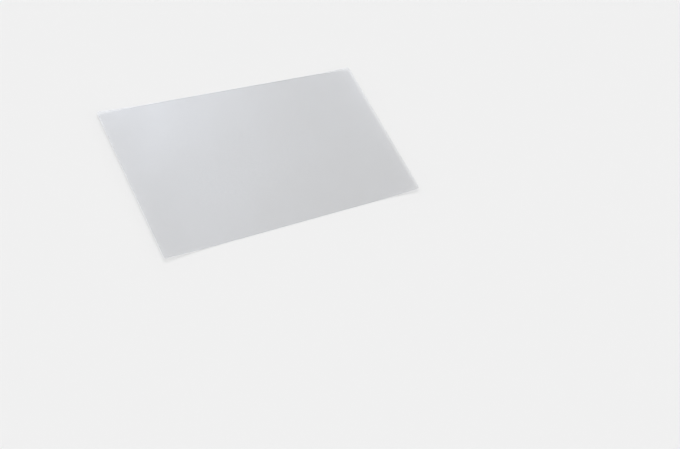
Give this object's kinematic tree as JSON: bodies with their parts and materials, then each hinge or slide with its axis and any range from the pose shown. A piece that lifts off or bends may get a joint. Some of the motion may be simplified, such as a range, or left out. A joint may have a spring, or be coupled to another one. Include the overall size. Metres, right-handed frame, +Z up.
{
  "type": "laptop anti-glare filter",
  "caption": "Thin rectangular sheet of clear film with a matt face and small round corners, laid over a laptop screen to take away its reflections.",
  "frame": {"origin": "on the table under the middle of the sheet, at the centre of its lower face", "axes": "+X along the sheet's long side, +Y along its short side, +Z up out of the matt face"},
  "size_m": [0.3448, 0.194, 0.0032],
  "materials": {
    "matt_film": "clear polyester film with a fine matt face"
  },
  "bodies": {
    "root": {"filter_sheet": "matt_film"}
  },
  "joints": []
}
